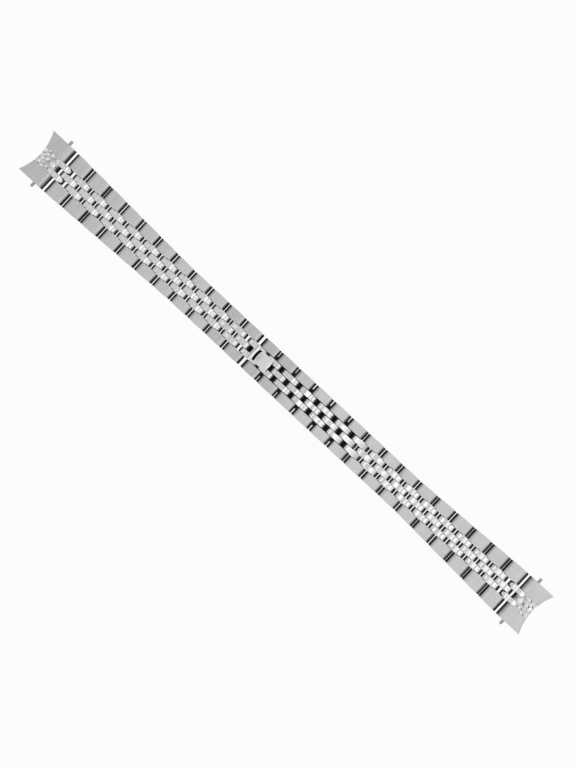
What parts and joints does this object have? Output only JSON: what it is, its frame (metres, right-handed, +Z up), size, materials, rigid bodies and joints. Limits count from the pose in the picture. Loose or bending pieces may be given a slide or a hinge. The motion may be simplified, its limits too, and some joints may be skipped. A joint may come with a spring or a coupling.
{
  "type": "watch bracelet",
  "caption": "Tapering steel watch bracelet of brushed outer plates and polished bead links in rows, with curved end links on spring bars and a hidden folding clasp with a lift tab.",
  "frame": {"origin": "centre of the bracelet's length and width, on the surface that it lies on", "axes": "+X along the bracelet from the end link of the short half to that of the long half, +Y across it towards the spring bars' fixed tips, +Z up from the surface, out of the polished face"},
  "size_m": [0.1722, 0.0156, 0.0055],
  "materials": {
    "brushed_steel": "brushed along the bracelet",
    "polished_steel": "polished",
    "blade_steel": "rolled sheet, satin",
    "bar_steel": "turned"
  },
  "bodies": {
    "clasp": {"clasp_lower_blade": "blade_steel", "clasp_bracket": "polished_steel"},
    "clasp_upper_blade": {"clasp_upper_blade": "blade_steel"},
    "release_tab": {"release_tab": "polished_steel"},
    "link_left_11": {"link_left_11": "brushed_steel"},
    "beads_left_10": {"beads_left_10": "polished_steel"},
    "link_left_10": {"link_left_10": "brushed_steel"},
    "beads_left_09": {"beads_left_09": "polished_steel"},
    "link_left_09": {"link_left_09": "brushed_steel"},
    "beads_left_08": {"beads_left_08": "polished_steel"},
    "link_left_08": {"link_left_08": "brushed_steel"},
    "beads_left_07": {"beads_left_07": "polished_steel"},
    "link_left_07": {"link_left_07": "brushed_steel"},
    "beads_left_06": {"beads_left_06": "polished_steel"},
    "link_left_06": {"link_left_06": "brushed_steel"},
    "beads_left_05": {"beads_left_05": "polished_steel"},
    "link_left_05": {"link_left_05": "brushed_steel"},
    "beads_left_04": {"beads_left_04": "polished_steel"},
    "link_left_04": {"link_left_04": "brushed_steel"},
    "beads_left_03": {"beads_left_03": "polished_steel"},
    "link_left_03": {"link_left_03": "brushed_steel"},
    "beads_left_02": {"beads_left_02": "polished_steel"},
    "link_left_02": {"link_left_02": "brushed_steel"},
    "beads_left_01": {"beads_left_01": "polished_steel"},
    "link_left_01": {"link_left_01": "brushed_steel"},
    "end_link_left": {"end_link_left": "brushed_steel", "spring_bar_left_body": "bar_steel"},
    "link_right_01": {"link_right_01": "brushed_steel"},
    "beads_right_01": {"beads_right_01": "polished_steel"},
    "link_right_02": {"link_right_02": "brushed_steel"},
    "beads_right_02": {"beads_right_02": "polished_steel"},
    "link_right_03": {"link_right_03": "brushed_steel"},
    "beads_right_03": {"beads_right_03": "polished_steel"},
    "link_right_04": {"link_right_04": "brushed_steel"},
    "beads_right_04": {"beads_right_04": "polished_steel"},
    "link_right_05": {"link_right_05": "brushed_steel"},
    "beads_right_05": {"beads_right_05": "polished_steel"},
    "link_right_06": {"link_right_06": "brushed_steel"},
    "beads_right_06": {"beads_right_06": "polished_steel"},
    "link_right_07": {"link_right_07": "brushed_steel"},
    "beads_right_07": {"beads_right_07": "polished_steel"},
    "link_right_08": {"link_right_08": "brushed_steel"},
    "beads_right_08": {"beads_right_08": "polished_steel"},
    "link_right_09": {"link_right_09": "brushed_steel"},
    "beads_right_09": {"beads_right_09": "polished_steel"},
    "link_right_10": {"link_right_10": "brushed_steel"},
    "beads_right_10": {"beads_right_10": "polished_steel"},
    "link_right_11": {"link_right_11": "brushed_steel"},
    "beads_right_11": {"beads_right_11": "polished_steel"},
    "link_right_12": {"link_right_12": "brushed_steel"},
    "beads_right_12": {"beads_right_12": "polished_steel"},
    "link_right_13": {"link_right_13": "brushed_steel"},
    "beads_right_13": {"beads_right_13": "polished_steel"},
    "link_right_14": {"link_right_14": "brushed_steel"},
    "beads_right_14": {"beads_right_14": "polished_steel"},
    "link_right_15": {"link_right_15": "brushed_steel"},
    "end_link_right": {"end_link_right": "brushed_steel", "spring_bar_right_body": "bar_steel"},
    "spring_bar_left_plunger": {"spring_bar_left_plunger": "bar_steel"},
    "spring_bar_right_plunger": {"spring_bar_right_plunger": "bar_steel"}
  },
  "joints": [
    {"name": "link_left_11_hinge", "type": "hinge", "parent": "clasp", "child": "link_left_11", "pos_m": [-0.01333, 0, 0.00204], "axis": [0, -1, 0], "range_deg": [-11.87, 36.13]},
    {"name": "beads_left_10_hinge", "type": "hinge", "parent": "link_left_11", "child": "beads_left_10", "pos_m": [-0.01632, 0, 0.00173], "axis": [0, 1, 0], "range_deg": [-30, 18]},
    {"name": "link_left_10_hinge", "type": "hinge", "parent": "beads_left_10", "child": "link_left_10", "pos_m": [-0.0193, 0, 0.00142], "axis": [0, -1, 0], "range_deg": [-18, 30]},
    {"name": "beads_left_09_hinge", "type": "hinge", "parent": "link_left_10", "child": "beads_left_09", "pos_m": [-0.02229, 0, 0.00112], "axis": [0, 1, 0], "range_deg": [-33.67, 14.33]},
    {"name": "link_left_09_hinge", "type": "hinge", "parent": "beads_left_09", "child": "link_left_09", "pos_m": [-0.02528, 0, 0.001], "axis": [0, -1, 0], "range_deg": [-15.8, 32.2]},
    {"name": "beads_left_08_hinge", "type": "hinge", "parent": "link_left_09", "child": "beads_left_08", "pos_m": [-0.02828, 0, 0.001], "axis": [0, 1, 0], "range_deg": [-30, 18]},
    {"name": "link_left_08_hinge", "type": "hinge", "parent": "beads_left_08", "child": "link_left_08", "pos_m": [-0.03128, 0, 0.001], "axis": [0, -1, 0], "range_deg": [-18, 30]},
    {"name": "beads_left_07_hinge", "type": "hinge", "parent": "link_left_08", "child": "beads_left_07", "pos_m": [-0.03428, 0, 0.001], "axis": [0, 1, 0], "range_deg": [-30, 18]},
    {"name": "link_left_07_hinge", "type": "hinge", "parent": "beads_left_07", "child": "link_left_07", "pos_m": [-0.03728, 0, 0.001], "axis": [0, -1, 0], "range_deg": [-18, 30]},
    {"name": "beads_left_06_hinge", "type": "hinge", "parent": "link_left_07", "child": "beads_left_06", "pos_m": [-0.04028, 0, 0.001], "axis": [0, 1, 0], "range_deg": [-30, 18]},
    {"name": "link_left_06_hinge", "type": "hinge", "parent": "beads_left_06", "child": "link_left_06", "pos_m": [-0.04328, 0, 0.001], "axis": [0, -1, 0], "range_deg": [-18, 30]},
    {"name": "beads_left_05_hinge", "type": "hinge", "parent": "link_left_06", "child": "beads_left_05", "pos_m": [-0.04628, 0, 0.001], "axis": [0, 1, 0], "range_deg": [-30, 18]},
    {"name": "link_left_05_hinge", "type": "hinge", "parent": "beads_left_05", "child": "link_left_05", "pos_m": [-0.04928, 0, 0.001], "axis": [0, -1, 0], "range_deg": [-18, 30]},
    {"name": "beads_left_04_hinge", "type": "hinge", "parent": "link_left_05", "child": "beads_left_04", "pos_m": [-0.05228, 0, 0.001], "axis": [0, 1, 0], "range_deg": [-30, 18]},
    {"name": "link_left_04_hinge", "type": "hinge", "parent": "beads_left_04", "child": "link_left_04", "pos_m": [-0.05528, 0, 0.001], "axis": [0, -1, 0], "range_deg": [-18, 30]},
    {"name": "beads_left_03_hinge", "type": "hinge", "parent": "link_left_04", "child": "beads_left_03", "pos_m": [-0.05828, 0, 0.001], "axis": [0, 1, 0], "range_deg": [-30, 18]},
    {"name": "link_left_03_hinge", "type": "hinge", "parent": "beads_left_03", "child": "link_left_03", "pos_m": [-0.06128, 0, 0.001], "axis": [0, -1, 0], "range_deg": [-18, 30]},
    {"name": "beads_left_02_hinge", "type": "hinge", "parent": "link_left_03", "child": "beads_left_02", "pos_m": [-0.06428, 0, 0.001], "axis": [0, 1, 0], "range_deg": [-30, 18]},
    {"name": "link_left_02_hinge", "type": "hinge", "parent": "beads_left_02", "child": "link_left_02", "pos_m": [-0.06728, 0, 0.001], "axis": [0, -1, 0], "range_deg": [-18, 30]},
    {"name": "beads_left_01_hinge", "type": "hinge", "parent": "link_left_02", "child": "beads_left_01", "pos_m": [-0.07028, 0, 0.001], "axis": [0, 1, 0], "range_deg": [-30, 18]},
    {"name": "link_left_01_hinge", "type": "hinge", "parent": "beads_left_01", "child": "link_left_01", "pos_m": [-0.07328, 0, 0.001], "axis": [0, -1, 0], "range_deg": [-18, 30]},
    {"name": "end_link_left_hinge", "type": "hinge", "parent": "link_left_01", "child": "end_link_left", "pos_m": [-0.07628, 0, 0.001], "axis": [0, 1, 0], "range_deg": [-30, 18]},
    {"name": "clasp_hinge", "type": "hinge", "parent": "clasp", "child": "clasp_upper_blade", "pos_m": [0.0233, 0, 0.00064], "axis": [0, 1, 0], "range_deg": [0, 120]},
    {"name": "link_right_01_hinge", "type": "hinge", "parent": "clasp_upper_blade", "child": "link_right_01", "pos_m": [-0.00873, 0, 0.00295], "axis": [0, 1, 0], "range_deg": [-8, 0]},
    {"name": "release_tab_hinge", "type": "hinge", "parent": "link_right_01", "child": "release_tab", "pos_m": [-0.00594, 0, 0.00441], "axis": [0, 1, 0], "range_deg": [0, 35]},
    {"name": "beads_right_01_hinge", "type": "hinge", "parent": "link_right_01", "child": "beads_right_01", "pos_m": [-0.00745, 0, 0.00318], "axis": [0, 1, 0], "range_deg": [-2, 0]},
    {"name": "link_right_02_hinge", "type": "hinge", "parent": "beads_right_01", "child": "link_right_02", "pos_m": [-0.00447, 0, 0.0036], "axis": [0, -1, 0], "range_deg": [0, 14]},
    {"name": "beads_right_02_hinge", "type": "hinge", "parent": "link_right_02", "child": "beads_right_02", "pos_m": [-0.00149, 0, 0.00391], "axis": [0, 1, 0], "range_deg": [-14, 0]},
    {"name": "link_right_03_hinge", "type": "hinge", "parent": "beads_right_02", "child": "link_right_03", "pos_m": [0.0015, 0, 0.00412], "axis": [0, -1, 0], "range_deg": [0, 14]},
    {"name": "beads_right_03_hinge", "type": "hinge", "parent": "link_right_03", "child": "beads_right_03", "pos_m": [0.0045, 0, 0.00423], "axis": [0, 1, 0], "range_deg": [-14, 0]},
    {"name": "link_right_04_hinge", "type": "hinge", "parent": "beads_right_03", "child": "link_right_04", "pos_m": [0.0075, 0, 0.00423], "axis": [0, -1, 0], "range_deg": [0, 14]},
    {"name": "beads_right_04_hinge", "type": "hinge", "parent": "link_right_04", "child": "beads_right_04", "pos_m": [0.0105, 0, 0.00412], "axis": [0, 1, 0], "range_deg": [-14, 0]},
    {"name": "link_right_05_hinge", "type": "hinge", "parent": "beads_right_04", "child": "link_right_05", "pos_m": [0.01349, 0, 0.00391], "axis": [0, -1, 0], "range_deg": [0, 14]},
    {"name": "beads_right_05_hinge", "type": "hinge", "parent": "link_right_05", "child": "beads_right_05", "pos_m": [0.01647, 0, 0.0036], "axis": [0, 1, 0], "range_deg": [-14, 0]},
    {"name": "link_right_06_hinge", "type": "hinge", "parent": "beads_right_05", "child": "link_right_06", "pos_m": [0.01945, 0, 0.00318], "axis": [0, -1, 0], "range_deg": [0, 14]},
    {"name": "beads_right_06_hinge", "type": "hinge", "parent": "link_right_06", "child": "beads_right_06", "pos_m": [0.0224, 0, 0.00266], "axis": [0, 1, 0], "range_deg": [-14, 0]},
    {"name": "link_right_07_hinge", "type": "hinge", "parent": "beads_right_06", "child": "link_right_07", "pos_m": [0.02533, 0, 0.00204], "axis": [0, -1, 0], "range_deg": [-36.13, 11.87]},
    {"name": "beads_right_07_hinge", "type": "hinge", "parent": "link_right_07", "child": "beads_right_07", "pos_m": [0.02832, 0, 0.00173], "axis": [0, 1, 0], "range_deg": [-18, 30]},
    {"name": "link_right_08_hinge", "type": "hinge", "parent": "beads_right_07", "child": "link_right_08", "pos_m": [0.0313, 0, 0.00142], "axis": [0, -1, 0], "range_deg": [-30, 18]},
    {"name": "beads_right_08_hinge", "type": "hinge", "parent": "link_right_08", "child": "beads_right_08", "pos_m": [0.03429, 0, 0.00112], "axis": [0, 1, 0], "range_deg": [-14.33, 33.67]},
    {"name": "link_right_09_hinge", "type": "hinge", "parent": "beads_right_08", "child": "link_right_09", "pos_m": [0.03728, 0, 0.001], "axis": [0, -1, 0], "range_deg": [-32.2, 15.8]},
    {"name": "beads_right_09_hinge", "type": "hinge", "parent": "link_right_09", "child": "beads_right_09", "pos_m": [0.04028, 0, 0.001], "axis": [0, 1, 0], "range_deg": [-18, 30]},
    {"name": "link_right_10_hinge", "type": "hinge", "parent": "beads_right_09", "child": "link_right_10", "pos_m": [0.04328, 0, 0.001], "axis": [0, -1, 0], "range_deg": [-30, 18]},
    {"name": "beads_right_10_hinge", "type": "hinge", "parent": "link_right_10", "child": "beads_right_10", "pos_m": [0.04628, 0, 0.001], "axis": [0, 1, 0], "range_deg": [-18, 30]},
    {"name": "link_right_11_hinge", "type": "hinge", "parent": "beads_right_10", "child": "link_right_11", "pos_m": [0.04928, 0, 0.001], "axis": [0, -1, 0], "range_deg": [-30, 18]},
    {"name": "beads_right_11_hinge", "type": "hinge", "parent": "link_right_11", "child": "beads_right_11", "pos_m": [0.05228, 0, 0.001], "axis": [0, 1, 0], "range_deg": [-18, 30]},
    {"name": "link_right_12_hinge", "type": "hinge", "parent": "beads_right_11", "child": "link_right_12", "pos_m": [0.05528, 0, 0.001], "axis": [0, -1, 0], "range_deg": [-30, 18]},
    {"name": "beads_right_12_hinge", "type": "hinge", "parent": "link_right_12", "child": "beads_right_12", "pos_m": [0.05828, 0, 0.001], "axis": [0, 1, 0], "range_deg": [-18, 30]},
    {"name": "link_right_13_hinge", "type": "hinge", "parent": "beads_right_12", "child": "link_right_13", "pos_m": [0.06128, 0, 0.001], "axis": [0, -1, 0], "range_deg": [-30, 18]},
    {"name": "beads_right_13_hinge", "type": "hinge", "parent": "link_right_13", "child": "beads_right_13", "pos_m": [0.06428, 0, 0.001], "axis": [0, 1, 0], "range_deg": [-18, 30]},
    {"name": "link_right_14_hinge", "type": "hinge", "parent": "beads_right_13", "child": "link_right_14", "pos_m": [0.06728, 0, 0.001], "axis": [0, -1, 0], "range_deg": [-30, 18]},
    {"name": "beads_right_14_hinge", "type": "hinge", "parent": "link_right_14", "child": "beads_right_14", "pos_m": [0.07028, 0, 0.001], "axis": [0, 1, 0], "range_deg": [-18, 30]},
    {"name": "link_right_15_hinge", "type": "hinge", "parent": "beads_right_14", "child": "link_right_15", "pos_m": [0.07328, 0, 0.001], "axis": [0, -1, 0], "range_deg": [-30, 18]},
    {"name": "end_link_right_hinge", "type": "hinge", "parent": "link_right_15", "child": "end_link_right", "pos_m": [0.07628, 0, 0.001], "axis": [0, 1, 0], "range_deg": [-18, 30]},
    {"name": "spring_bar_left_slide", "type": "slide", "parent": "end_link_left", "child": "spring_bar_left_plunger", "axis": [0, 1, 0], "range_m": [0, 0.0013], "stiffness_N_per_m": 200},
    {"name": "spring_bar_right_slide", "type": "slide", "parent": "end_link_right", "child": "spring_bar_right_plunger", "axis": [0, 1, 0], "range_m": [0, 0.0013], "stiffness_N_per_m": 200}
  ]
}
